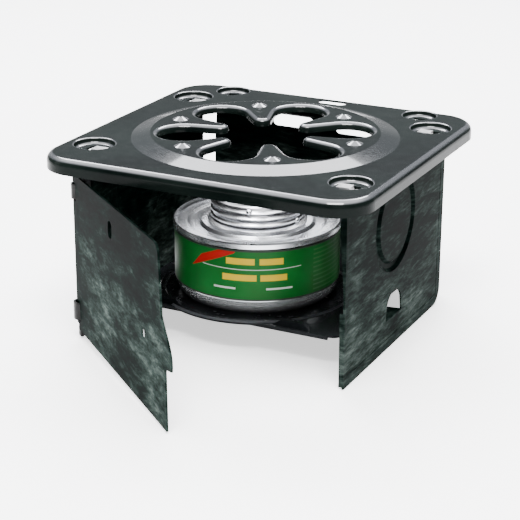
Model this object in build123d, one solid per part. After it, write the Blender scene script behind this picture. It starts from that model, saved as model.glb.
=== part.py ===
from build123d import *
import math
import os

# Folding camp stove with a wick-type fuel can. Millimetres, +Z up, +Y towards the back panel.
# Pieces are drawn about the top plate's centre line with the ground at Z = 0, and the last step
# moves them all so that the origin is the bottom centre of the whole object's box.

SHEET = 1.0
PLATE_WIDTH = 178.0
PLATE_DEPTH = 170.0
PLATE_TOP = 102.0
PLATE_CORNER = 20.0
FLANGE = 8.0
FLANGE_BEND = 4.0
RELIEF_WIDTH = 142.0
RELIEF_LIP = 1.5

FIELD_RADIUS = 70.0
FIELD_FLAT = 60.0
FIELD_RISE = 2.5
PETALS = 6
LOBE_RADIUS = 13.8
LOBE_AT = 42.3
TIP_RADIUS = 4.6
TIP_AT = 26.6
RIM_DEPTH = 4.0
RIM_ROLL = 3.0
PIP_AT = 50.5
PIP_RADIUS = 4.5
PIP_RISE = 1.6

DIMPLE_X = 71.5
DIMPLE_Y = 53.0
DIMPLE_RADIUS = 10.5
BACK_DIMPLE_X = 57.0
BACK_DIMPLE_Y = 74.0
BACK_DIMPLE_RADIUS = 9.0
DIMPLE_DEPTH = 3.0
DIMPLE_BOWL = 2.4
DIMPLE_LIP = 0.9
DIMPLE_HOLE = 8.0
SLOT_X = 4.0
SLOT_Y = 76.5
SLOT_LENGTH = 17.0
SLOT_WIDTH = 7.5

SIDE_FACE = 76.0
BACK_FACE = 76.0
SIDE_FRONT = -67.0
SIDE_BACK = 65.0
SIDE_CORNER = 9.0
PANEL_TOP = 95.0
HINGE_RISE = 95.5
ROD_RADIUS = 1.5
ROD_GAP = 0.05
KNUCKLE_RADIUS = 2.6
KNUCKLE_HALF = 39.0
CLIP_RADIUS = 2.4
CLIP_WIDTH = 7.0
CLIP_NOTCH = 9.0
SIDE_ROD_HALF = 60.0
BACK_ROD_HALF = 44.0
BACK_CLIP_X = 37.0
BACK_KNUCKLE_HALF = 31.0

BEAD_Y = -4.0
BEAD_Z = 68.0
BEAD_RADIUS = 23.4
BEAD_HALF = 2.9
BEAD_DEPTH = 1.6
ARCH_Y = -3.0
ARCH_Z = 16.0
ARCH_HALF = 11.0
ARCH_SHOULDER = 9.8
ARCH_SHOULDER_RISE = 7.5
ARCH_RISE = 14.4
HEM = 5.5
HEM_LINE = 0.6
HEM_SCORE = 0.25

WINDOW_NEAR = 7.0
WINDOW_LENGTH = 25.0
WINDOW_HEIGHT = 7.0
WINDOW_Z = 88.3
BACK_TOP_HALF = 68.5
BACK_HALF = 69.5
BACK_SHOULDER = 70.0
BACK_EAR_NEAR = 44.0
BACK_EAR_TOP = 92.5

DOOR_HINGE_X = -72.8
DOOR_HINGE_Y = -69.0
DOOR_OPEN = 38.5
DOOR_TOP = 90.5
DOOR_FOOT = 0.8
DOOR_ROLL = 2.15
DOOR_ROD = 1.1
DOOR_ROD_TOP = 92.0
DOOR_ROLL_FOOT = 9.0
DOOR_TIP = 123.2
DOOR_HOOK = 129.8
DOOR_HOOK_Z = 33.5
DOOR_NOTCH_Z = 32.2
DOOR_EDGE = 115.6
DOOR_CORNER = 5.0
DOOR_HOLES = ((53.4, 77.4, 5.0, 9.0), (95.3, 39.6, 3.6, 5.6))
LOWER_LOOP = (11.3, 20.7, 3.0, 4.0)
UPPER_LOOP = (77.4, 85.2, 2.22, 3.1)
LOOP_LEAF_END = -54.0
RIVET_Y = -59.0
RIVET_SHANK = 1.0
RIVET_HEAD = 2.0
RIVET_HEAD_RISE = 0.8

TRAY_HALF = 64.0
TRAY_FRONT = -46.0
TRAY_BACK = 66.0
TRAY_UNDER = 16.3
TRAY_LIP = 1.0
TRAY_LIP_HALF = 58.0
TRAY_RING = 51.0
TRAY_STOP_X = 37.0

CAN_X = -4.5
CAN_Y = 0.0
CAN_RADIUS = 44.0
CAN_FOOT_RADIUS = 41.2
CAN_HEIGHT = 40.0
CAN_WALL = 0.6
SEAM_RADIUS = 44.9
SEAM_HEIGHT = 3.0
NECK_RADIUS = 24.0
NECK_HEIGHT = 14.0
THREAD_RISE = 0.9
THREAD_PITCH = 3.4
NECK_BOSSES = ((-74.0, 11.2), (-6.0, 3.0))
BOSS_RADIUS = 1.7
WICK_RADIUS = 6.0
LABEL_GAP = 0.02
LABEL_THICK = 0.2


def ring(inner, outer, low, high):
    """A plain tube standing on its end between two heights."""
    tube = Cylinder(outer, high - low) - Cylinder(inner, high - low)
    return Pos(0, 0, (low + high) / 2) * tube


def block(x0, x1, y0, y1, z0, z1):
    """A box given by its lowest and highest corners."""
    middle = Pos((x0 + x1) / 2, (y0 + y1) / 2, (z0 + z1) / 2)
    return middle * Box(x1 - x0, y1 - y0, z1 - z0)


def drum(x, y, radius, low, high):
    """A solid cylinder standing at a point between two heights."""
    return Pos(x, y, (low + high) / 2) * Cylinder(radius, high - low)


def turned(points):
    """A solid of revolution about Z from (radius, height) points."""
    outline = Plane.XZ * make_face(Polyline(*points, close=True))
    return revolve(outline, Axis.Z)


def flower():
    """Outline of the burner opening: six lobes with round-tipped fingers between them."""
    half = math.pi / PETALS
    lobe = Vector(LOBE_AT * math.cos(half), LOBE_AT * math.sin(half))
    tip = Vector(TIP_AT, 0)
    across = lobe - tip
    angle = math.atan2(across.Y, across.X) + math.acos((LOBE_RADIUS + TIP_RADIUS) / across.length)
    normal = Vector(math.cos(angle), math.sin(angle))
    start = tip + normal * TIP_RADIUS
    end = lobe - normal * LOBE_RADIUS
    outer = Vector(math.cos(half), math.sin(half)) * (LOBE_AT + LOBE_RADIUS)
    turn = 360 / PETALS
    next_start = Vector(start.X, -start.Y).rotate(Axis.Z, turn)
    next_end = Vector(end.X, -end.Y).rotate(Axis.Z, turn)
    edges = [
        ThreePointArc((start.X, -start.Y), (TIP_AT - TIP_RADIUS, 0), start),
        Line(start, end),
        ThreePointArc(end, outer, next_end),
        Line(next_end, next_start),
    ]
    return make_face([Rot(0, 0, index * turn) * edge for index in range(PETALS) for edge in edges])


def dimple_places():
    """Centre and radius of every pressed dimple in the top plate."""
    places = [(sx * DIMPLE_X, sy * DIMPLE_Y, DIMPLE_RADIUS) for sx in (-1, 1) for sy in (-1, 1)]
    places += [(sx * BACK_DIMPLE_X, BACK_DIMPLE_Y, BACK_DIMPLE_RADIUS) for sx in (-1, 1)]
    return places


def pan():
    """The flanged pan that the top plate is drawn from, with the back flange relieved."""
    outer = Pos(0, 0, PLATE_TOP - FLANGE) * extrude(
        RectangleRounded(PLATE_WIDTH, PLATE_DEPTH, PLATE_CORNER), FLANGE)
    outer = fillet(outer.faces().sort_by(Axis.Z)[-1].edges(), FLANGE_BEND)
    inner = Pos(0, 0, PLATE_TOP - FLANGE) * extrude(
        RectangleRounded(PLATE_WIDTH - 2 * SHEET, PLATE_DEPTH - 2 * SHEET, PLATE_CORNER - SHEET),
        FLANGE - SHEET)
    inner = fillet(inner.faces().sort_by(Axis.Z)[-1].edges(), FLANGE_BEND - SHEET)
    relief = block(-RELIEF_WIDTH / 2, RELIEF_WIDTH / 2, PLATE_DEPTH / 2 - FLANGE_BEND,
                   PLATE_DEPTH / 2 + SHEET, PLATE_TOP - FLANGE - SHEET, PLATE_TOP - RELIEF_LIP)
    return outer - inner - relief


def burner_field():
    """Raised disc with its sloped edge, and the opening's edge rolled down all round."""
    crest = PLATE_TOP + FIELD_RISE
    field = turned([(0, crest - SHEET), (FIELD_FLAT - 0.3, crest - SHEET),
                    (FIELD_RADIUS - 0.3, PLATE_TOP - SHEET), (FIELD_RADIUS, PLATE_TOP - SHEET),
                    (FIELD_RADIUS, PLATE_TOP), (FIELD_FLAT, crest), (0, crest)])
    outline = flower()
    field += Pos(0, 0, crest - RIM_DEPTH) * extrude(offset(outline, SHEET), RIM_DEPTH)
    field -= Pos(0, 0, crest - RIM_DEPTH) * extrude(outline, RIM_DEPTH)
    under = [e for e in flat_edges(field, crest - SHEET) if reach_of(e) < FIELD_FLAT - 1]
    field = fillet(under, RIM_ROLL - SHEET)
    over = [e for e in flat_edges(field, crest) if reach_of(e) < FIELD_FLAT - 1]
    return fillet(over, RIM_ROLL)


def bowl(x, y, radius, depth, bend):
    """Solid the shape of a pressed dimple, with a rounded lower edge."""
    solid = drum(x, y, radius, PLATE_TOP - depth, PLATE_TOP)
    return fillet(solid.edges().sort_by(Axis.Z)[0], bend)


def is_dimple_edge(edge):
    """True for the mouth of a dimple."""
    radii = (DIMPLE_RADIUS, BACK_DIMPLE_RADIUS)
    return edge.geom_type == GeomType.CIRCLE and min(abs(edge.radius - r) for r in radii) < 0.001


def flat_edges(shape, height):
    """Edges that lie at one height."""
    return [e for e in shape.edges() if max(abs(v.Z - height) for v in e.vertices()) < 0.001
            and abs(e.center().Z - height) < 0.001]


def reach_of(edge):
    """Distance of an edge's middle from the Z axis."""
    middle = edge.position_at(0.5)
    return math.hypot(middle.X, middle.Y)


def top_plate():
    """Pressed plate with the raised burner field, six dimples and a hanging slot."""
    plate = pan() - drum(0, 0, FIELD_RADIUS, PLATE_TOP - SHEET, PLATE_TOP) + burner_field()
    for x, y, radius in dimple_places():
        inside = bowl(x, y, radius, DIMPLE_DEPTH, DIMPLE_BOWL)
        plate += bowl(x, y, radius + SHEET, DIMPLE_DEPTH + SHEET, DIMPLE_BOWL + SHEET)
        plate -= inside
        half = DIMPLE_HOLE / 2
        floor = PLATE_TOP - DIMPLE_DEPTH
        plate -= block(x - half, x + half, y - half, y + half, floor - 2 * SHEET, floor + SHEET)
    plate = fillet([e for e in flat_edges(plate, PLATE_TOP) if is_dimple_edge(e)], DIMPLE_LIP)
    for index in range(PETALS):
        pip = Pos(PIP_AT, 0, PLATE_TOP + FIELD_RISE + PIP_RISE / 2 - 0.1) * Cone(PIP_RADIUS, 1.0, PIP_RISE)
        plate += Rot(0, 0, index * 360 / PETALS) * pip
    slot = SlotOverall(SLOT_LENGTH, SLOT_WIDTH)
    plate -= Pos(SLOT_X, SLOT_Y, PLATE_TOP - 2 * SHEET) * extrude(slot, 3 * SHEET)
    return plate


def lying_rod(radius, half, axis_x):
    """A hinge rod that runs front to back under the plate."""
    return Pos(axis_x, 0, HINGE_RISE) * Rot(90, 0, 0) * Cylinder(radius, 2 * half)


def clip(foot_low, foot_length):
    """Strap bent round a hinge rod on Y at X = 0, with a neck on its -X side and a flat foot."""
    thick = CLIP_RADIUS - ROD_RADIUS
    eye = Rot(90, 0, 0) * (Cylinder(CLIP_RADIUS, CLIP_WIDTH) - Cylinder(ROD_RADIUS, CLIP_WIDTH))
    eye = Pos(0, 0, HINGE_RISE) * eye
    half = CLIP_WIDTH / 2 - 0.5
    neck = block(-CLIP_RADIUS, -ROD_RADIUS, -half, half, HINGE_RISE, foot_low + thick)
    foot = block(-CLIP_RADIUS - foot_length, -ROD_RADIUS, -half, half, foot_low, foot_low + thick)
    return eye + neck + foot


def side_clip(side, y):
    """Clip through a side dimple's square hole, clinched over on the dimple's floor."""
    shape = Pos(SIDE_FACE - KNUCKLE_RADIUS, y, 0) * clip(PLATE_TOP - DIMPLE_DEPTH, 6.0)
    return shape if side > 0 else mirror(shape, Plane.YZ)


def back_clip(x):
    """Clip welded by its foot to the underside of the plate."""
    shape = Pos(BACK_FACE - KNUCKLE_RADIUS, 0, 0) * clip(PLATE_TOP - SHEET - CLIP_RADIUS + ROD_RADIUS, 3.0)
    return Pos(x, 0, 0) * (Rot(0, 0, 90) * shape)


def arch():
    """Outline of the lanced arch, flat side down, in the X = across, Y = up plane."""
    shoulder = (ARCH_SHOULDER, ARCH_SHOULDER_RISE)
    left = (-ARCH_SHOULDER, ARCH_SHOULDER_RISE)
    return make_face([
        Line((-ARCH_HALF, 0), (ARCH_HALF, 0)),
        Line((ARCH_HALF, 0), shoulder),
        ThreePointArc(shoulder, (0, ARCH_RISE), left),
        Line(left, (-ARCH_HALF, 0)),
    ])


def knuckle(half):
    """Rolled edge that turns on a hinge rod on Y at X = 0."""
    bore = ROD_RADIUS + ROD_GAP
    return Rot(90, 0, 0) * (Cylinder(KNUCKLE_RADIUS, 2 * half) - Cylinder(bore, 2 * half))


def bead():
    """Round stiffening bead on the +X side panel: the raised inside and the groove outside."""
    low = BEAD_RADIUS - BEAD_HALF
    high = BEAD_RADIUS + BEAD_HALF
    inner = SIDE_FACE - SHEET
    raised = turned([(low - 0.6, inner), (low + 1.2, inner - BEAD_DEPTH), (high - 1.2, inner - BEAD_DEPTH),
                     (high + 0.6, inner), (high + 0.6, inner + 0.5), (low - 0.6, inner + 0.5)])
    groove = turned([(low, SIDE_FACE), (low + 1.6, SIDE_FACE - BEAD_DEPTH),
                     (high - 1.6, SIDE_FACE - BEAD_DEPTH), (high, SIDE_FACE)])
    place = Pos(0, BEAD_Y, BEAD_Z) * Rot(0, 90, 0)
    return place * raised, place * groove


def side_panel():
    """The +X side panel, seen from inside as well as out, with no front lips or door notches."""
    inner = SIDE_FACE - SHEET
    depth = SIDE_BACK - SIDE_FRONT
    sheet = block(inner, SIDE_FACE, SIDE_FRONT, SIDE_BACK, 0, PANEL_TOP)
    back_foot = sheet.edges().filter_by(Axis.X).sort_by(lambda e: e.center().Y - e.center().Z)[-1]
    sheet = fillet(back_foot, SIDE_CORNER)
    sheet += block(inner - 3.0, inner, SIDE_BACK - SHEET, SIDE_BACK, SIDE_CORNER, PANEL_TOP - 4)
    sheet += block(inner - SHEET, inner, SIDE_FRONT + 2, SIDE_BACK - SIDE_CORNER, 0, HEM)
    sheet += block(inner, SIDE_FACE, -KNUCKLE_HALF, KNUCKLE_HALF, PANEL_TOP, HINGE_RISE)
    sheet += Pos(SIDE_FACE - KNUCKLE_RADIUS, 0, HINGE_RISE) * knuckle(KNUCKLE_HALF)
    for y in (-DIMPLE_Y, DIMPLE_Y):
        half = CLIP_NOTCH / 2
        sheet -= block(inner - 4, SIDE_FACE, y - half, y + half, HINGE_RISE - 3.4, PANEL_TOP)
    raised, groove = bead()
    sheet = sheet + raised - groove
    window = Plane.YZ * arch()
    sheet -= Pos(inner - 1, ARCH_Y, ARCH_Z) * extrude(window, 3)
    tab = Pos(inner, ARCH_Y, ARCH_Z - SHEET) * Rot(0, 0, 90) * extrude(arch(), SHEET)
    sheet += tab
    sheet -= block(SIDE_FACE - HEM_SCORE, SIDE_FACE, SIDE_FRONT + 4, SIDE_BACK - HEM,
                   HEM, HEM + HEM_LINE)
    sheet -= block(SIDE_FACE - HEM_SCORE, SIDE_FACE, SIDE_BACK - HEM - HEM_LINE, SIDE_BACK - HEM,
                   HEM, PANEL_TOP - 4)
    return sheet


def right_side_panel():
    """Side panel with two narrow lips turned in along its front edge."""
    inner = SIDE_FACE - SHEET
    lower = block(inner - 1.8, inner, SIDE_FRONT, SIDE_FRONT + SHEET, 1, 39.5)
    upper = extrude(Plane.XZ.offset(-SIDE_FRONT - SHEET)
                    * make_face(Polyline((inner, 90), (inner - 2.6, 90), (inner, 48), close=True)), SHEET)
    return side_panel() + lower + upper


def left_side_panel():
    """Mirrored side panel, cut back where the door's loops pass and drilled for their rivets."""
    panel = mirror(side_panel(), Plane.YZ)
    for low, high, _, _ in (LOWER_LOOP, UPPER_LOOP):
        panel -= block(-SIDE_FACE - 1, -SIDE_FACE + 6, SIDE_FRONT - 1, SIDE_FRONT + 2.4,
                       low - 0.6, high + 0.6)
        panel -= rivet_shank((low + high) / 2)
    return panel


def rivet_shank(z):
    """Straight part of a loop rivet, through the panel and the loop's leaf."""
    length = 2 * SHEET
    return Pos(-SIDE_FACE + SHEET, RIVET_Y, z) * Rot(0, 90, 0) * Cylinder(RIVET_SHANK, length)


def rivet(z):
    """A loop rivet with a low domed head on each face."""
    body = rivet_shank(z)
    for x in (-SIDE_FACE - RIVET_HEAD_RISE / 2, -SIDE_FACE + 2 * SHEET + RIVET_HEAD_RISE / 2):
        head = Rot(0, 90, 0) * Cylinder(RIVET_HEAD, RIVET_HEAD_RISE)
        body += Pos(x, RIVET_Y, z) * head
    return body


def door_loop(spec):
    """Strap loop round the door's rolled edge, with a flat leaf riveted inside the left panel."""
    low, high, inner, outer = spec
    loop = Pos(DOOR_HINGE_X, DOOR_HINGE_Y, 0) * ring(inner, outer, low, high)
    face = -SIDE_FACE + SHEET
    reach = DOOR_HINGE_Y + math.sqrt(inner ** 2 - (face + SHEET - DOOR_HINGE_X) ** 2) + 0.1
    leaf = block(face, face + SHEET, reach, LOOP_LEAF_END, low, high)
    return loop + leaf - rivet_shank((low + high) / 2)


def door_outline():
    """Door sheet in its own plane: X along the door from the hinge, Y up."""
    edge_top = (DOOR_EDGE, DOOR_TOP)
    corner_low = (DOOR_EDGE + 0.2, DOOR_TOP - DOOR_CORNER)
    corner_mid = (DOOR_EDGE - 1.3, DOOR_TOP - 1.4)
    waist = (DOOR_EDGE + 2.8, 57.0)
    hook = (DOOR_HOOK, DOOR_HOOK_Z)
    return make_face([
        Line((0, DOOR_TOP), (DOOR_EDGE - DOOR_CORNER, DOOR_TOP)),
        ThreePointArc((DOOR_EDGE - DOOR_CORNER, DOOR_TOP), corner_mid, corner_low),
        Line(corner_low, waist),
        Spline(waist, (DOOR_EDGE + 6.2, 52.0), (DOOR_EDGE + 12.0, 44.5), hook),
        Line(hook, (DOOR_TIP - 0.9, DOOR_NOTCH_Z)),
        Line((DOOR_TIP - 0.9, DOOR_NOTCH_Z), (DOOR_TIP, DOOR_FOOT)),
        Line((DOOR_TIP, DOOR_FOOT), (2.4, 5.7)),
        Line((2.4, 5.7), (2.4, DOOR_ROLL_FOOT)),
        Line((2.4, DOOR_ROLL_FOOT), (0, DOOR_ROLL_FOOT)),
        Line((0, DOOR_ROLL_FOOT), (0, DOOR_TOP)),
    ])


def hung(shape):
    """Turns a door piece, drawn along +X from its hinge, to where the open door stands."""
    return Pos(DOOR_HINGE_X, DOOR_HINGE_Y, 0) * Rot(0, 0, -DOOR_OPEN) * shape


def door_panel():
    """Door sheet rolled round its rod, slotted for the loops, with a latch hook on its free edge."""
    face = -DOOR_ROLL
    sheet = extrude(Plane.XZ.offset(-face - SHEET) * door_outline(), SHEET)
    sheet += ring(DOOR_ROD, DOOR_ROLL, DOOR_ROLL_FOOT, DOOR_TOP - 0.5)
    for (low, high, _, _), near, far in ((LOWER_LOOP, 1.6, 4.6), (UPPER_LOOP, 0.3, 3.7)):
        sheet -= block(near, far, face - 1, face + 1.1, low - 0.8, high + 0.8)
    for along, up, wide, tall in DOOR_HOLES:
        oval = Plane.XZ.offset(-3 * SHEET) * (Pos(along, up) * Rot(0, 0, 90) * SlotOverall(tall, wide))
        sheet -= extrude(oval, 6 * SHEET)
    return hung(sheet)


def back_panel():
    """Back panel with two vent slots, narrowed at its top and rolled round the back rod."""
    inner = BACK_FACE - SHEET
    edge = [(BACK_TOP_HALF, PANEL_TOP), (BACK_TOP_HALF, 86), (BACK_HALF, BACK_SHOULDER), (BACK_HALF, 0)]
    outline = make_face(Polyline(*edge, *[(-x, z) for x, z in reversed(edge)], close=True))
    sheet = extrude(Plane.XZ.offset(-inner) * outline, -SHEET)
    feet = [e for e in sheet.edges().filter_by(Axis.Y) if e.center().Z < 1]
    sheet = fillet(feet, SIDE_CORNER)
    sheet += block(-BACK_KNUCKLE_HALF, BACK_KNUCKLE_HALF, inner, BACK_FACE, PANEL_TOP, HINGE_RISE)
    roll = Rot(0, 0, 90) * knuckle(BACK_KNUCKLE_HALF)
    sheet += Pos(0, BACK_FACE - KNUCKLE_RADIUS, HINGE_RISE) * roll
    half = CLIP_NOTCH / 2
    ear = block(BACK_EAR_NEAR, BACK_HALF, inner, BACK_FACE, BACK_EAR_TOP, PANEL_TOP)
    for side in (-1, 1):
        x = side * BACK_CLIP_X
        sheet -= block(x - half, x + half, inner - 4, BACK_FACE, HINGE_RISE - 3.4, PANEL_TOP)
        middle = side * (WINDOW_NEAR + WINDOW_LENGTH / 2)
        slot = Plane.XZ.offset(-BACK_FACE - 1) * (
            Pos(middle, WINDOW_Z) * RectangleRounded(WINDOW_LENGTH, WINDOW_HEIGHT, 2.4))
        sheet -= extrude(slot, 3 * SHEET)
    sheet = sheet - ear - mirror(ear, Plane.YZ)
    sheet += block(-BACK_HALF + 12, BACK_HALF - 12, inner - SHEET, inner, 0, HEM)
    return sheet


def fuel_tray():
    """Loose tray that rests on the side panels' lanced tabs, with a locating ring for the can."""
    top = TRAY_UNDER + SHEET
    tray = block(-TRAY_HALF, TRAY_HALF, TRAY_FRONT, TRAY_BACK, TRAY_UNDER, top)
    tray = fillet(tray.edges().filter_by(Axis.Z), 6)
    tray += block(-TRAY_LIP_HALF, TRAY_LIP_HALF, TRAY_FRONT - SHEET, TRAY_FRONT,
                  TRAY_UNDER - TRAY_LIP, top)
    tray += drum(CAN_X, 0, TRAY_RING + 2, TRAY_UNDER, top)
    tray += Pos(CAN_X, 0, 0) * turned([(TRAY_RING - 2, top), (TRAY_RING - 1, top + 0.9),
                                       (TRAY_RING + 1, top + 0.9), (TRAY_RING + 2, top)])
    low = make_face(Polyline((-10.5, 0), (10.5, 0), (7.5, 6), (-7.5, 6), close=True))
    stop = loft([Pos(0, 0, top) * low, Pos(0, 1.4, top + 2.6) * scale(low, 0.62)])
    for side in (-1, 1):
        tray += Pos(side * TRAY_STOP_X, TRAY_FRONT + 1, 0) * stop
    return tray


def can_height(up):
    """Height above ground of a level measured from the can's foot."""
    return TRAY_UNDER + SHEET + up


def at_can(shape):
    """Moves a piece drawn about Z to the can's axis."""
    return Pos(CAN_X, CAN_Y, 0) * shape


def can_body():
    """Drawn steel cup with a rounded, narrower foot and a flared mouth."""
    wall = CAN_WALL
    foot = can_height(0)
    top = can_height(CAN_HEIGHT - SEAM_HEIGHT)
    outside = [(0, foot + 1.5), (CAN_FOOT_RADIUS - 4, foot + 1.5), (CAN_FOOT_RADIUS - 3, foot),
               (CAN_FOOT_RADIUS - 1, foot), (CAN_FOOT_RADIUS + 1, foot + 2.5), (CAN_RADIUS - 0.8, foot + 5),
               (CAN_RADIUS, foot + 8), (CAN_RADIUS, top)]
    inside = [(CAN_RADIUS - wall, top), (CAN_RADIUS - wall, foot + 8),
              (CAN_RADIUS - 0.8 - wall, foot + 5.2), (CAN_FOOT_RADIUS + 1 - wall, foot + 3),
              (CAN_FOOT_RADIUS - 2, foot + 1.5 + wall), (0, foot + 1.5 + wall)]
    return at_can(turned(outside + inside))


def can_lid():
    """Stepped lid, seamed over the body's mouth, with pressed rings and a hole for the neck."""
    base = can_height(CAN_HEIGHT - SEAM_HEIGHT)
    top = base + SEAM_HEIGHT
    wall = CAN_WALL
    hole = NECK_RADIUS - 2
    over = [(SEAM_RADIUS, base), (SEAM_RADIUS, top - 0.8), (SEAM_RADIUS - 0.8, top),
            (SEAM_RADIUS - 1.8, top), (SEAM_RADIUS - 2.6, base + 1.2), (37, base + 1.2), (35.5, base + 0.1),
            (31, base + 0.1), (29.5, base + 1.6), (hole, base + 1.6)]
    under = [(hole, base + 1), (29, base + 1), (30.5, base - 0.5), (36, base - 0.5), (37.5, base + 0.6),
             (CAN_RADIUS - wall, base + 0.6), (CAN_RADIUS - wall, base)]
    return at_can(turned(over + under))


def can_neck():
    """Screw neck: a rolled collar with ring-shaped thread crests and a turned-in mouth."""
    base = can_height(CAN_HEIGHT - SEAM_HEIGHT) + 1.6
    top = base + NECK_HEIGHT
    bore = NECK_RADIUS - CAN_WALL - 0.4
    profile = [(bore, base), (NECK_RADIUS + 2.6, base), (NECK_RADIUS + 2.6, base + 0.8),
               (NECK_RADIUS + 0.4, base + 1.8)]
    level = base + 2.4
    while level + THREAD_PITCH < top:
        profile += [(NECK_RADIUS, level), (NECK_RADIUS + THREAD_RISE, level + 1.0),
                    (NECK_RADIUS + THREAD_RISE, level + 1.6), (NECK_RADIUS, level + 2.6)]
        level += THREAD_PITCH
    profile += [(NECK_RADIUS, top - 0.6), (NECK_RADIUS - 0.6, top), (NECK_RADIUS - 3, top),
                (NECK_RADIUS - 3, top - 0.8), (bore, top - 0.8)]
    neck = turned(profile)
    for angle, up in NECK_BOSSES:
        boss = Pos(NECK_RADIUS + 0.1, 0, base + up) * Sphere(BOSS_RADIUS)
        neck += Rot(0, 0, angle) * (boss - drum(0, 0, NECK_RADIUS - 0.5, base, top))
    return at_can(neck)


def wick_holder():
    """Dished plug in the neck, with a ring of vent holes and a short tube that grips the wick."""
    seat = can_height(CAN_HEIGHT - SEAM_HEIGHT) + 1.6 + NECK_HEIGHT - 0.8
    rim = NECK_RADIUS - CAN_WALL - 0.4
    tube = WICK_RADIUS
    plug = turned([(tube, seat - 6), (tube + 1, seat - 6), (tube + 1, seat - 2.4), (rim - 2.5, seat - 2.4),
                   (rim - 1.5, seat - 0.8), (rim, seat - 0.8), (rim, seat), (rim - 2.3, seat),
                   (rim - 3.3, seat - 1.6), (tube + 1, seat - 1.6), (tube + 1, seat + 1.2),
                   (tube, seat + 1.2)])
    for index in range(8):
        plug -= Rot(0, 0, index * 45) * drum(13, 0, 1.6, seat - 3, seat)
    return at_can(plug)


def wick():
    """Braided wick from the fuel to just above the holder's tube."""
    top = can_height(CAN_HEIGHT - SEAM_HEIGHT) + NECK_HEIGHT + 4
    shape = drum(0, 0, WICK_RADIUS, can_height(2.1), top)
    return at_can(shape)


def fuel_fill():
    """Liquid fuel and its soaked pad, round the wick, below the lid."""
    low = can_height(2.1)
    high = can_height(26)
    fill = turned([(WICK_RADIUS, low), (CAN_FOOT_RADIUS - 4, low), (CAN_FOOT_RADIUS - 1, can_height(4)),
                   (CAN_RADIUS - 3, can_height(8)), (CAN_RADIUS - CAN_WALL, can_height(11)),
                   (CAN_RADIUS - CAN_WALL, high), (WICK_RADIUS, high)])
    return at_can(fill)


def can_label():
    """Printed sleeve round the can's straight wall."""
    inner = CAN_RADIUS + LABEL_GAP
    return at_can(ring(inner, inner + LABEL_THICK, can_height(8.5), can_height(36.0)))


def group(shapes):
    """Separate solids that share one node."""
    return Compound(children=list(shapes))


def build():
    """Every piece by its node name, about the plate's centre line."""
    hinge_x = SIDE_FACE - KNUCKLE_RADIUS
    hinge_y = BACK_FACE - KNUCKLE_RADIUS
    pieces = {
        "top_plate": top_plate(),
        "hinge_rod_left": lying_rod(ROD_RADIUS, SIDE_ROD_HALF, -hinge_x),
        "hinge_rod_right": lying_rod(ROD_RADIUS, SIDE_ROD_HALF, hinge_x),
        "hinge_rod_back": Rot(0, 0, 90) * lying_rod(ROD_RADIUS, BACK_ROD_HALF, hinge_y),
        "left_side_panel": left_side_panel(),
        "right_side_panel": right_side_panel(),
        "back_panel": back_panel(),
        "door_panel": door_panel(),
        "door_hinge_rod": hung(drum(0, 0, DOOR_ROD, DOOR_FOOT, DOOR_ROD_TOP)),
        "door_loop_lower": door_loop(LOWER_LOOP),
        "door_loop_upper": door_loop(UPPER_LOOP),
        "loop_rivets": group([rivet((spec[0] + spec[1]) / 2) for spec in (LOWER_LOOP, UPPER_LOOP)]),
        "fuel_tray": fuel_tray(),
        "can_body": can_body(),
        "can_lid": can_lid(),
        "can_neck": can_neck(),
        "wick_holder": wick_holder(),
        "wick": wick(),
        "fuel_fill": fuel_fill(),
        "can_label": can_label(),
    }
    for side, word in ((-1, "left"), (1, "right")):
        pieces[f"hinge_clip_{word}_front"] = side_clip(side, -DIMPLE_Y)
        pieces[f"hinge_clip_{word}_rear"] = side_clip(side, DIMPLE_Y)
        pieces[f"hinge_clip_back_{word}"] = back_clip(side * BACK_CLIP_X)
    return pieces


def shift_for(pieces):
    """Move that puts the origin at the bottom centre of the whole object's box."""
    boxes = [piece.bounding_box() for piece in pieces.values()]
    low = [min(tuple(box.min)[i] for box in boxes) for i in range(3)]
    high = [max(tuple(box.max)[i] for box in boxes) for i in range(3)]
    return (-(low[0] + high[0]) / 2, -(low[1] + high[1]) / 2, -low[2])


os.makedirs("parts", exist_ok=True)
PIECES = build()
SHIFT = shift_for(PIECES)
for node, piece in PIECES.items():
    export_step(Pos(*SHIFT) * piece, f"parts/{node}.step")
print("origin shift", [round(value, 4) for value in SHIFT])
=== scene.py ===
import math

import bpy
from mathutils import Euler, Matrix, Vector


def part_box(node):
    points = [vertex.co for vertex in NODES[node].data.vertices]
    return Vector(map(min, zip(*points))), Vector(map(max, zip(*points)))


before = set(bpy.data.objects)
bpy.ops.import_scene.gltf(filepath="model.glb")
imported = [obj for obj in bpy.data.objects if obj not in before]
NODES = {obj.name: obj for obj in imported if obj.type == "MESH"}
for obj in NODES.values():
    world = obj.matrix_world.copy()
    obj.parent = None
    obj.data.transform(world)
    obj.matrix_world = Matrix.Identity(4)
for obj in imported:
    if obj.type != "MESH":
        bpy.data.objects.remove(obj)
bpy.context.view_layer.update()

# The label's print faces this many millimetres round the can from straight ahead.
LABEL_FRONT = -15.0
# Plain printed bars: share of the label's height, then left and right ends in millimetres.
YELLOW_BARS = ((0.78, -11.0, 4.0), (0.78, 6.5, 19.0), (0.46, -13.0, 5.0), (0.46, 7.0, 21.0))
WHITE_BARS = ((0.24, -18.0, -6.0), (0.24, 10.0, 24.0))
# Greys painted on the turned rings as painted reflections, from (distance from the can's axis in
# millimetres, grey).
LID_REFLECTION_GREYS = [(24.0, 0.8), (28.6, 0.9), (30.2, 0.3), (32.0, 0.65), (35.2, 0.9), (36.4, 0.35), (38.0, 1.0),
             (41.5, 0.75), (42.6, 0.2), (43.4, 1.0), (45.0, 0.9)]
NECK_REFLECTION_GREYS = [(10.0, 0.4), (23.2, 0.5), (24.3, 0.22), (24.8, 1.0), (26.6, 0.9)]
# The plate's centre is this far behind the CAD's origin, in metres.
PLATE_CENTRE_Y = 0.0333838

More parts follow.
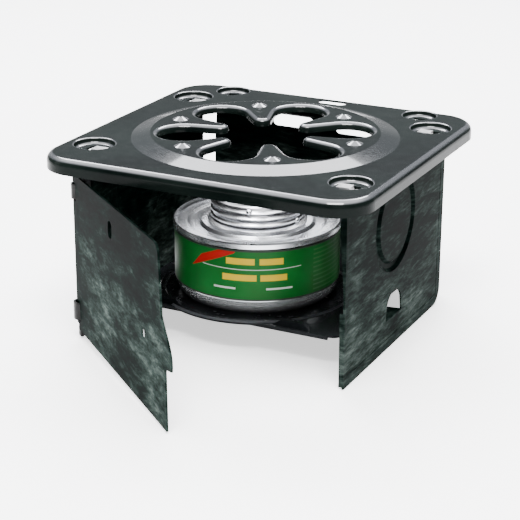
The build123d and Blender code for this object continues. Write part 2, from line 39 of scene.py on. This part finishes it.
# Surround: (sine of the elevation, grey), dark near the horizon and bright overhead.
SKY = ((0.0, 0.08), (0.13, 0.12), (0.24, 0.03), (0.5, 0.02), (0.68, 0.35), (0.85, 1.0))
SKY_STRENGTH = 5.5
FLOOR_HALF = 6.0
FLOOR_GAP = 0.0002
# Area lamps: name, place, target, size, watts, colour.
LAMPS = (
    ("key", (0.25, -0.5, 1.3), (0, 0, 0.05), (0.7, 0.5), 48.0, (1, 1, 1)),
    ("front", (0.75, -1.1, 0.5), (0, 0, 0.05), (0.9, 0.5), 3.0, (1, 1, 1)),
    ("left", (-1.0, -0.5, 0.5), (0, 0, 0.05), (0.4, 0.5), 3.0, (1, 1, 1)),
    ("rear", (-0.4, 0.8, 1.0), (0, 0, 0.1), (1.1, 0.4), 42.0, (0.95, 0.96, 1.0)),
)
# The focal length in image widths, and the camera's tilt about its own axis in degrees.
FOCAL_WIDTHS = 1640 / 520
ROLL = 0.24


def fill_ramp(node, stops):
    """Sets a colour ramp's stops from (position, colour)."""
    elements = node.color_ramp.elements
    while len(elements) < len(stops):
        elements.new(0.5)
    for element, (place, colour) in zip(elements, stops):
        element.position = place
        element.color = (*colour, 1.0)


class Graph:
    """Short way to build a node material."""

    def __init__(self, name):
        self.material = bpy.data.materials.new(name)
        self.material.use_nodes = True
        self.tree = self.material.node_tree
        self.shader = self.tree.nodes["Principled BSDF"]
        coord = self.tree.nodes.new("ShaderNodeTexCoord")
        self.point = coord.outputs["Object"]

    def node(self, kind, **settings):
        made = self.tree.nodes.new(kind)
        for key, value in settings.items():
            setattr(made, key, value)
        return made

    def feed(self, socket, value):
        if isinstance(value, bpy.types.NodeSocket):
            self.tree.links.new(value, socket)
        else:
            socket.default_value = value

    def math(self, operation, a, b=0.0, clamp=False):
        made = self.node("ShaderNodeMath", operation=operation, use_clamp=clamp)
        self.feed(made.inputs[0], a)
        self.feed(made.inputs[1], b)
        return made.outputs[0]

    def scaled(self, factors):
        made = self.node("ShaderNodeVectorMath", operation="MULTIPLY")
        self.feed(made.inputs[0], self.point)
        made.inputs[1].default_value = factors
        return made.outputs[0]

    def noise(self, scale, detail=3.0, rough=0.5, stretch=None, distort=0.0):
        made = self.node("ShaderNodeTexNoise")
        self.feed(made.inputs["Vector"], self.scaled(stretch) if stretch else self.point)
        made.inputs["Scale"].default_value = scale
        made.inputs["Detail"].default_value = detail
        made.inputs["Roughness"].default_value = rough
        made.inputs["Distortion"].default_value = distort
        return made.outputs["Fac"]

    def ramp(self, value, stops):
        made = self.node("ShaderNodeValToRGB")
        fill_ramp(made, stops)
        self.feed(made.inputs[0], value)
        return made.outputs["Color"]

    def grey_ramp(self, value, stops):
        return self.ramp(value, [(place, (grey,) * 3) for place, grey in stops])

    def remap(self, value, low, high, out_low, out_high):
        made = self.node("ShaderNodeMapRange")
        self.feed(made.inputs[0], value)
        for index, number in enumerate((low, high, out_low, out_high), 1):
            made.inputs[index].default_value = number
        return made.outputs[0]

    def mix(self, factor, a, b, blend="MIX"):
        made = self.node("ShaderNodeMix", data_type="RGBA", blend_type=blend)
        self.feed(made.inputs[0], factor)
        for socket, value in ((made.inputs[6], a), (made.inputs[7], b)):
            self.feed(socket, (*value, 1.0) if isinstance(value, tuple) else value)
        return made.outputs[2]

    def bump(self, height, distance, strength=0.5):
        made = self.node("ShaderNodeBump")
        self.feed(made.inputs["Height"], height)
        made.inputs["Distance"].default_value = distance
        made.inputs["Strength"].default_value = strength
        self.feed(self.shader.inputs["Normal"], made.outputs["Normal"])

    def parts(self, vector):
        """The three components of a vector."""
        made = self.node("ShaderNodeSeparateXYZ")
        self.feed(made.inputs[0], vector)
        return made.outputs

    def facing(self):
        """How far the surface faces up: 1 on a flat top, 0 on an upright face."""
        return self.parts(self.node("ShaderNodeNewGeometry").outputs["Normal"])[2]

    def reach(self, centre):
        """Distance in millimetres from an upright axis."""
        x, y, _ = self.parts(self.point)
        x = self.math("SUBTRACT", x, centre[0])
        y = self.math("SUBTRACT", y, centre[1])
        square = self.math("ADD", self.math("MULTIPLY", x, x), self.math("MULTIPLY", y, y))
        return self.math("MULTIPLY", self.math("SQRT", square), 1000.0)

    def set(self, **values):
        for name, value in values.items():
            socket = self.shader.inputs[name.replace("_", " ")]
            self.feed(socket, (*value, 1.0) if isinstance(value, tuple) and len(value) == 3 else value)


def stove_steel(name, dark, light, rough, cloud=14.0):
    """Dark glossy coated steel with faint clouds and fine orange peel, glossiest on its bends, whose
    colour is also painted a lighter grey as a painted highlight.
    """
    g = Graph(name)
    clouds = g.noise(cloud, 5.0, 0.6, distort=0.6)
    fine = g.noise(220.0, 2.0, 0.5)
    peel = g.noise(700.0, 2.0, 0.5)
    bend_gloss_and_painted_highlight = g.grey_ramp(g.facing(), [(0.0, 0.0), (0.55, 0.0), (0.78, 1.0), (0.95, 1.0), (0.968, 0.32),
                                     (0.993, 0.12)])
    # Painted highlight: on the bends the colour is mixed toward a light grey.
    base = g.mix(bend_gloss_and_painted_highlight, g.ramp(clouds, [(0.35, dark), (0.62, light)]), (0.05, 0.053, 0.058))
    g.set(Base_Color=base, Coat_Weight=bend_gloss_and_painted_highlight, Coat_Roughness=0.06, Coat_IOR=1.7, IOR=1.12)
    g.feed(g.shader.inputs["Roughness"], g.remap(fine, 0.3, 0.7, rough, rough + 0.08))
    g.bump(peel, 0.00002, 0.1)
    return g.material


def mottled_steel(name, stretch, painted_light_tone=1.0, painted_light_gain=1.0):
    """Coated sheet with cloudy grey-green mottling, with painted shade darkening it near its top edge
    and a painted brightness gain of its own.
    """
    g = Graph(name)
    flat = (stretch[0], stretch[1], stretch[2] * 3.2)
    clouds = g.noise(16.0, 8.0, 0.62, stretch=stretch, distort=0.4)
    waves = g.noise(46.0, 7.0, 0.7, stretch=flat, distort=0.3)
    blotch = g.noise(190.0, 5.0, 0.65, stretch=flat, distort=0.4)
    both = g.math("ADD", g.math("MULTIPLY", clouds, 0.35), g.math("MULTIPLY", waves, 0.42))
    both = g.math("ADD", both, g.math("MULTIPLY", blotch, 0.23))
    # Painted shade: the colour is darkened towards the sheet's top edge.
    painted_top_shade = g.remap(g.parts(g.point)[2], 0.04, 0.085, 0.0, -0.1 * painted_light_tone)
    value = g.math("ADD", both, painted_top_shade)
    stops = ((0.38, (0.0002, 0.0006, 0.0005)), (0.46, (0.0012, 0.0032, 0.0026)),
             (0.52, (0.009, 0.0145, 0.0125)), (0.58, (0.03, 0.04, 0.036)),
             (0.66, (0.075, 0.09, 0.083)))
    # Painted light: each panel's colours are scaled by its own brightness gain, making lit and shaded
    # copies of one steel.
    base = g.ramp(value, [(place, tuple(c * painted_light_gain for c in colour)) for place, colour in stops])
    g.set(Base_Color=base, IOR=1.025)
    g.feed(g.shader.inputs["Roughness"], g.remap(value, 0.4, 0.7, 0.3, 0.45))
    g.bump(blotch, 0.00005, 0.3)
    return g.material


def hinge_steel(name, dark, light):
    """Dark drawn steel with fine lengthwise lines."""
    g = Graph(name)
    lines = g.noise(900.0, 2.0, 0.5, stretch=(1.0, 1.0, 0.2))
    g.set(Base_Color=g.grey_ramp(g.noise(160.0), [(0.3, dark), (0.7, light)]), Metallic=0.85)
    g.feed(g.shader.inputs["Roughness"], g.remap(lines, 0.3, 0.7, 0.3, 0.45))
    g.bump(lines, 0.00003, 0.3)
    return g.material


def tinplate(name, tint, rough, centre, rings):
    """Bright turned tinplate: smooth rings about the can's axis, painted light and dark as painted
    reflections, and faint handling marks.
    """
    g = Graph(name)
    marks = g.noise(45.0, 3.0, 0.5)
    widest = rings[-1][0]
    across = g.math("DIVIDE", g.reach(centre), widest)
    # Painted reflection: light and dark ring greys by distance from the can's axis.
    painted_light_tone = g.grey_ramp(across, [(at / widest, grey) for at, grey in rings])
    soft = g.mix(g.remap(marks, 0.3, 0.7, 0.0, 0.12), tint, (0.35, 0.36, 0.38))
    g.set(Base_Color=g.mix(1.0, soft, painted_light_tone, "MULTIPLY"), Metallic=0.95, Anisotropic=0.75)
    g.feed(g.shader.inputs["Roughness"], g.remap(marks, 0.3, 0.7, rough, rough + 0.05))
    tangent = g.node("ShaderNodeTangent", direction_type="RADIAL", axis="Z")
    g.feed(g.shader.inputs["Tangent"], tangent.outputs[0])
    g.bump(g.math("SINE", g.math("MULTIPLY", g.reach(centre), 9.0)), 0.000004, 0.1)
    return g.material


def can_shell(low, high):
    """Can wall between two heights: a bright lower band, then dark up to a black shoulder."""
    g = Graph("can_shell")
    up = g.remap(g.parts(g.point)[2], low, high, 0.0, 1.0)
    base = g.ramp(up, [(0.0, (0.05, 0.05, 0.06)), (0.16, (0.6, 0.63, 0.64)), (0.26, (0.34, 0.36, 0.37)),
                       (0.3, (0.03, 0.035, 0.035)), (0.86, (0.03, 0.035, 0.033)),
                       (0.97, (0.012, 0.014, 0.014))])
    marks = g.noise(120.0, 3.0, 0.6)
    g.set(Base_Color=base, Metallic=0.75)
    g.feed(g.shader.inputs["Roughness"], g.remap(marks, 0.3, 0.7, 0.16, 0.26))
    g.bump(marks, 0.00002, 0.2)
    return g.material


def label(centre, radius, low, high):
    """Printed sleeve: green, with a slanted red flash, a curved white line and plain yellow bars."""
    g = Graph("label_print")
    x, y, z = g.parts(g.point)
    x = g.math("SUBTRACT", x, centre[0])
    y = g.math("SUBTRACT", y, centre[1])
    around = g.math("MULTIPLY", g.math("ARCTAN2", x, g.math("MULTIPLY", y, -1.0)), radius * 1000.0)
    up = g.math("MULTIPLY", g.math("SUBTRACT", z, low), 1000.0)
    tall = (high - low) * 1000.0
    along = g.math("ADD", around, LABEL_FRONT)

    def strip(value, middle, half):
        away = g.math("ABSOLUTE", g.math("SUBTRACT", value, middle))
        return g.math("LESS_THAN", away, half)

    def both(a, b):
        return g.math("MULTIPLY", a, b)

    def bars(places, half):
        """Upright-sided bars from (share of the height, left end, right end)."""
        found = None
        for height, left, right in places:
            across = strip(along, (left + right) / 2, (right - left) / 2)
            bar = both(strip(up, tall * height, half), across)
            found = bar if found is None else g.math("MAXIMUM", found, bar)
        return found

    grain = g.noise(60.0, 3.0, 0.5)
    colour = g.ramp(grain, [(0.3, (0.002, 0.07, 0.008)), (0.7, (0.004, 0.1, 0.014))])
    lean = g.math("SUBTRACT", up, g.math("MULTIPLY", along, 0.42))
    skew = g.math("SUBTRACT", along, g.math("MULTIPLY", up, 0.9))
    flash = both(strip(lean, tall * 0.72 + 11.0, 2.3), strip(skew, -38.0, 8.0))
    sag = g.math("MULTIPLY", g.math("MULTIPLY", along, along), 0.0008)
    curve = both(strip(g.math("SUBTRACT", up, sag), tall * 0.62, 0.2), strip(along, 2.0, 27.0))
    white = g.math("MAXIMUM", curve, bars(WHITE_BARS, 0.5))
    edge = g.math("MAXIMUM", g.math("LESS_THAN", up, 0.9), g.math("GREATER_THAN", up, tall - 0.9))
    panel = both(g.math("GREATER_THAN", around, 52.0), g.math("LESS_THAN", around, 95.0))
    rows = g.math("LESS_THAN", g.math("FRACT", g.math("DIVIDE", up, 2.4)), 0.35)
    colour = g.mix(both(both(panel, rows), 0.35), colour, (0.06, 0.16, 0.07))
    colour = g.mix(bars(YELLOW_BARS, 1.7), colour, (0.5, 0.34, 0.01))
    colour = g.mix(white, colour, (0.4, 0.45, 0.4))
    colour = g.mix(flash, colour, (0.3, 0.004, 0.003))
    colour = g.mix(edge, colour, (0.02, 0.03, 0.022))
    g.set(Base_Color=colour, Roughness=0.5, Specular_IOR_Level=0.1)
    g.bump(g.noise(800.0, 2.0), 0.00001, 0.15)
    return g.material


def fibre():
    """Braided wick: pale fibre with crossing ribs, charred at its tip."""
    g = Graph("wick_fibre")
    wave = g.node("ShaderNodeTexWave", wave_type="BANDS", bands_direction="DIAGONAL")
    g.feed(wave.inputs["Vector"], g.point)
    wave.inputs["Scale"].default_value = 260.0
    wave.inputs["Distortion"].default_value = 1.5
    char = g.remap(g.parts(g.point)[2], 0.068, 0.0715, 0.0, 1.0)
    g.set(Base_Color=g.mix(char, (0.6, 0.56, 0.46), (0.03, 0.025, 0.02)), Roughness=0.9)
    g.bump(wave.outputs["Fac"], 0.0003, 0.6)
    return g.material


def soaked():
    """Fuel-soaked pad, hidden inside the can."""
    g = Graph("fuel")
    grain = g.noise(300.0, 4.0, 0.6)
    g.set(Base_Color=g.ramp(grain, [(0.3, (0.2, 0.32, 0.42)), (0.7, (0.35, 0.48, 0.56))]), Roughness=0.4)
    g.bump(grain, 0.0002, 0.4)
    return g.material


def paint(node, material):
    """Gives a CAD piece its material."""
    data = NODES[node].data
    data.materials.clear()
    data.materials.append(material)


def light(name, place, target, size, energy, colour=(1, 1, 1)):
    """A rectangular area lamp aimed at a point."""
    data = bpy.data.lights.new(name, "AREA")
    data.shape = "RECTANGLE"
    data.size, data.size_y = size
    data.energy = energy
    data.color = colour
    made = bpy.data.objects.new(name, data)
    made.location = place
    made.rotation_euler = (Vector(target) - Vector(place)).to_track_quat("-Z", "Y").to_euler()
    bpy.context.scene.collection.objects.link(made)
    return made


def studio():
    """Plain pale floor, the surround and the lamps."""
    mesh = bpy.data.meshes.new("floor")
    corners = [(x * FLOOR_HALF, y * FLOOR_HALF, 0) for x, y in ((-1, -1), (1, -1), (1, 1), (-1, 1))]
    mesh.from_pydata(corners, [], [(0, 1, 2, 3)])
    floor = bpy.data.objects.new("floor", mesh)
    floor.location.z = -FLOOR_GAP
    bpy.context.scene.collection.objects.link(floor)
    g = Graph("floor")
    g.set(Base_Color=g.grey_ramp(g.noise(2.0), [(0.3, 0.92), (0.7, 0.94)]), Roughness=0.9,
          Emission_Color=(1.0, 1.0, 1.0), Emission_Strength=1.0)
    mesh.materials.append(g.material)
    sky()
    for lamp in LAMPS:
        light(*lamp)
    glow = light("inner_glow", (-0.0045, 0.0334, 0.0955), (-0.0045, 0.0334, 0.0), (0.07, 0.07), 0.06)
    glow.visible_camera = False


def sky():
    """Soft box overhead and a dim surround, so that dark gloss stays dark."""
    world = bpy.data.worlds.new("studio")
    world.use_nodes = True
    tree = world.node_tree
    back = tree.nodes["Background"]
    coord = tree.nodes.new("ShaderNodeTexCoord")
    split = tree.nodes.new("ShaderNodeSeparateXYZ")
    ramp = tree.nodes.new("ShaderNodeValToRGB")
    tree.links.new(coord.outputs["Generated"], split.inputs[0])
    tree.links.new(split.outputs[2], ramp.inputs[0])
    fill_ramp(ramp, [(place, (grey, grey, grey * 1.01)) for place, grey in SKY])
    tree.links.new(ramp.outputs["Color"], back.inputs["Color"])
    back.inputs["Strength"].default_value = SKY_STRENGTH
    bpy.context.scene.world = world


def camera():
    """Camera at the fitted place, in front of the stove and to its right."""
    data = bpy.data.cameras.new("camera")
    data.sensor_width = 36
    data.lens = data.sensor_width * FOCAL_WIDTHS
    data.clip_start = 0.02
    made = bpy.data.objects.new("camera", data)
    eye = Vector((0.3627, -0.7390 + PLATE_CENTRE_Y, 0.3408))
    aim = Vector((-0.0029, PLATE_CENTRE_Y, 0.03225))
    turn = (aim - eye).to_track_quat("-Z", "Y")
    roll = Euler((0, 0, math.radians(ROLL))).to_quaternion()
    made.location = eye
    made.rotation_euler = (turn @ roll).to_euler()
    bpy.context.scene.collection.objects.link(made)
    bpy.context.scene.camera = made


hinges = hinge_steel("hinge_steel", 0.25, 0.5)
loops = hinge_steel("loop_steel", 0.004, 0.012)
can_low, can_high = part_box("can_body")
label_low, label_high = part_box("can_label")
can_axis = (label_low + label_high) / 2
label_radius = (label_high.x - label_low.x) / 2

paint("top_plate", stove_steel("plate_steel", (0.001, 0.002, 0.0018), (0.004, 0.0065, 0.0055), 0.16))
paint("fuel_tray", stove_steel("tray_steel", (0.001, 0.0015, 0.0018), (0.006, 0.007, 0.008), 0.2, 22.0))
# One mottled steel on every panel, each with its own painted top shade depth and painted brightness
# gain.
paint("left_side_panel", mottled_steel("left_panel_steel", (1.0, 1.0, 1.0)))
paint("right_side_panel", mottled_steel("right_panel_steel", (1.0, 0.8, 1.3), 0.3, 0.9))
paint("door_panel", mottled_steel("door_steel", (1.0, 1.0, 0.9), 0.9, 1.5))
paint("back_panel", mottled_steel("back_panel_steel", (0.8, 1.0, 1.1)))
for node in NODES:
    if node.startswith("hinge_"):
        paint(node, hinges)
    if node.startswith(("door_hinge", "door_loop", "loop_")):
        paint(node, loops)
paint("can_body", can_shell(can_low.z, can_high.z))
paint("can_lid", tinplate("can_lid_tin", (0.86, 0.88, 0.92), 0.24, can_axis, LID_REFLECTION_GREYS))
paint("can_neck", tinplate("can_neck_tin", (0.88, 0.89, 0.92), 0.22, can_axis, NECK_REFLECTION_GREYS))
paint("wick_holder", tinplate("holder_tin", (0.6, 0.6, 0.62), 0.3, can_axis, NECK_REFLECTION_GREYS))
paint("wick", fibre())
paint("fuel_fill", soaked())
paint("can_label", label(can_axis, label_radius, label_low.z, label_high.z))

studio()
camera()
